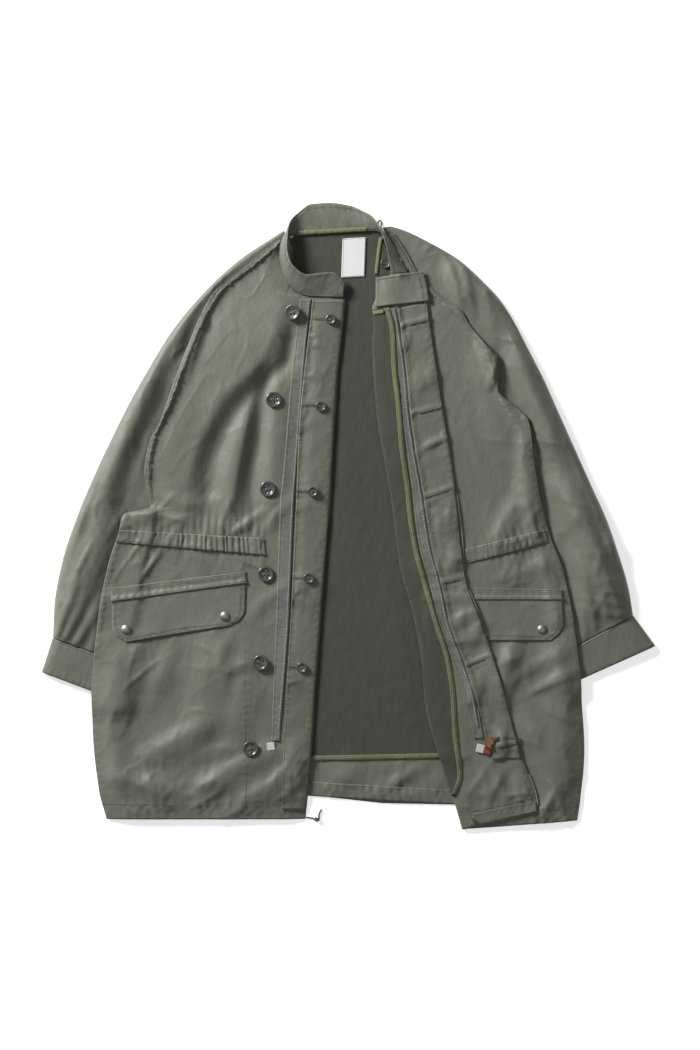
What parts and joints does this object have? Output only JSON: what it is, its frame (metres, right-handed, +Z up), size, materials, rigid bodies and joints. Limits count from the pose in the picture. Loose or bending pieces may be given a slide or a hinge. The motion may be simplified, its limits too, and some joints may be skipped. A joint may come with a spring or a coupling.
{
  "type": "field jacket",
  "caption": "Long field jacket laid flat on its back: right front smooth, left front edge folded open, stand collar open, raglan sleeves down at the sides.",
  "frame": {"origin": "centre of the jacket's outline from above, on the surface it lies on", "axes": "+Z up from the surface, +Y from the hem towards the collar, +X towards the wearer's left, which is the view's right"},
  "size_m": [0.889, 0.9081, 0.0265],
  "materials": {
    "shell": "grey-green cotton satin, soft sheen",
    "lining": "dark brown-grey lining cotton",
    "binding": "olive green woven tape",
    "zip_tape": "blue-grey woven zip tape",
    "label": "plain white woven tape",
    "zip_box": "white moulded plastic",
    "slider": "orange-brown enamel",
    "pull_tab": "orange-brown moulded tab",
    "cord": "dark grey-green braided cord",
    "button": "dark grey polished plastic",
    "snap": "worn bright steel"
  },
  "bodies": {
    "jacket": {"back_hem": "shell", "back_lining": "lining", "back_panel": "shell", "band_left": "shell", "band_right": "shell", "button_big_1": "button", "button_big_2": "button", "button_big_3": "button", "button_big_4": "button", "button_big_5": "button", "button_big_6": "button", "button_small_1": "button", "button_small_2": "button", "button_small_3": "button", "button_small_4": "button", "button_small_5": "button", "casing_left": "shell", "casing_right": "shell", "collar": "shell", "collar_button": "button", "collar_left_end": "shell", "cuff_left": "shell", "cuff_right": "shell", "facing_binding": "binding", "facing_left": "lining", "flap_left": "shell", "flap_right": "shell", "fly_left": "shell", "front_left": "shell", "front_right": "shell", "hanging_loop": "cord", "hem_cord": "cord", "hem_cord_knot": "cord", "hem_cord_tail": "cord", "hem_knot_left": "cord", "label": "label", "lining_binding": "binding", "neck_binding": "binding", "neck_binding_left": "binding", "placket_right": "shell", "sleeve_left": "shell", "sleeve_right": "shell", "snap_1": "snap", "snap_2": "snap", "snap_3": "snap", "strip_hem": "shell", "zip_box_left": "zip_box", "zip_box_right": "zip_box", "zip_slider": "slider", "zip_tape_left": "zip_tape", "zip_tape_right": "zip_tape"},
    "pull": {"pull_tab": "pull_tab", "pull_eye": "cord", "pull_knot": "cord", "pull_cord": "cord"}
  },
  "joints": [
    {"name": "pull_tab_turn", "type": "hinge", "parent": "jacket", "child": "pull", "pos_m": [0.20182, -0.3327, 0.01743], "axis": [0.9703, -0.2419, 0], "range_deg": [0, 150]}
  ]
}
